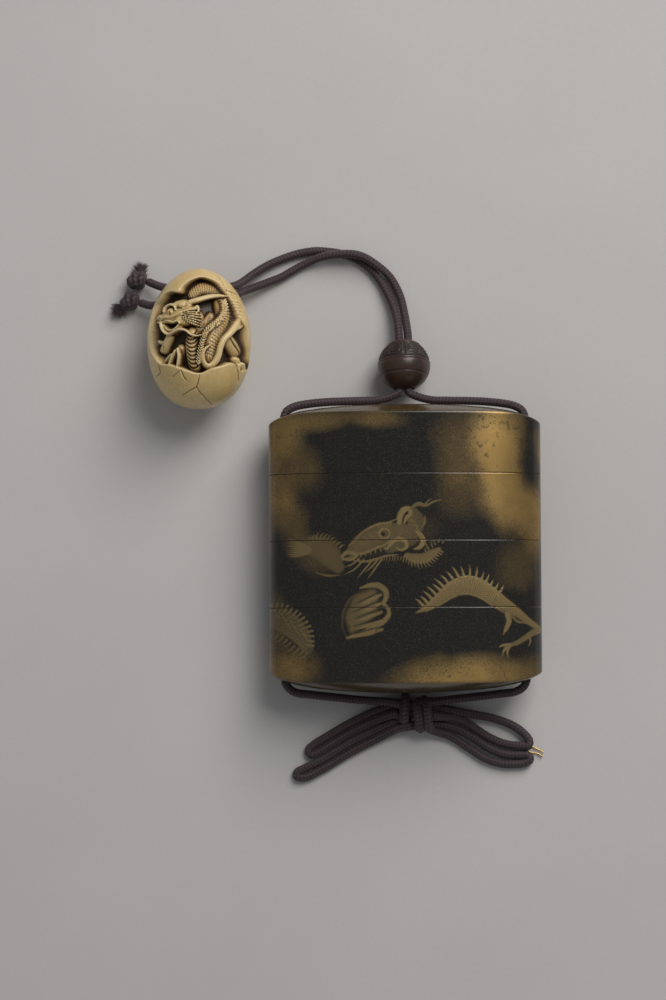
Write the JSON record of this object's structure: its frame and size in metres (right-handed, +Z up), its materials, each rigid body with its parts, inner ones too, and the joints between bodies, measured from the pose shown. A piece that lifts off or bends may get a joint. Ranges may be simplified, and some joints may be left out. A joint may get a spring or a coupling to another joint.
{
  "type": "inro case",
  "caption": "Flat oval lacquered case of stacked hollow sections, strung on a silk cord with a carved bead, an egg-shaped netsuke and a bow.",
  "frame": {"origin": "on the surface it lies on, under the middle of the inro's own box", "axes": "+X across the case to its right side, +Y towards the lid, +Z up through the painted front"},
  "size_m": [0.1193, 0.1483, 0.0282],
  "materials": {
    "lacquer": "glossy black lacquer over thin wood, painted in sprinkled gold",
    "nutwood": "polished brown nut or wood, carved",
    "ivory": "cream ivory, polished, stained brown in the carving",
    "silk": "dark purple-brown braided silk",
    "brass": "thin bright wire"
  },
  "bodies": {
    "root": {"lid": "lacquer", "upper_case": "lacquer", "middle_case": "lacquer", "lower_case": "lacquer", "ojime_bead": "nutwood", "netsuke_egg": "ivory", "outer_strand": "silk", "inner_strand": "silk", "bead_strand_left": "silk", "bead_strand_right": "silk", "top_strand_left": "silk", "top_strand_right": "silk", "channel_strand_left": "silk", "channel_strand_right": "silk", "bottom_strand_left": "silk", "bottom_strand_right": "silk", "bow_knot": "silk", "left_upper_loop": "silk", "left_lower_loop": "silk", "right_open_loop": "silk", "right_closed_loop": "silk", "upper_end_knot": "silk", "lower_end_knot": "silk", "brass_wire": "brass"}
  },
  "joints": []
}
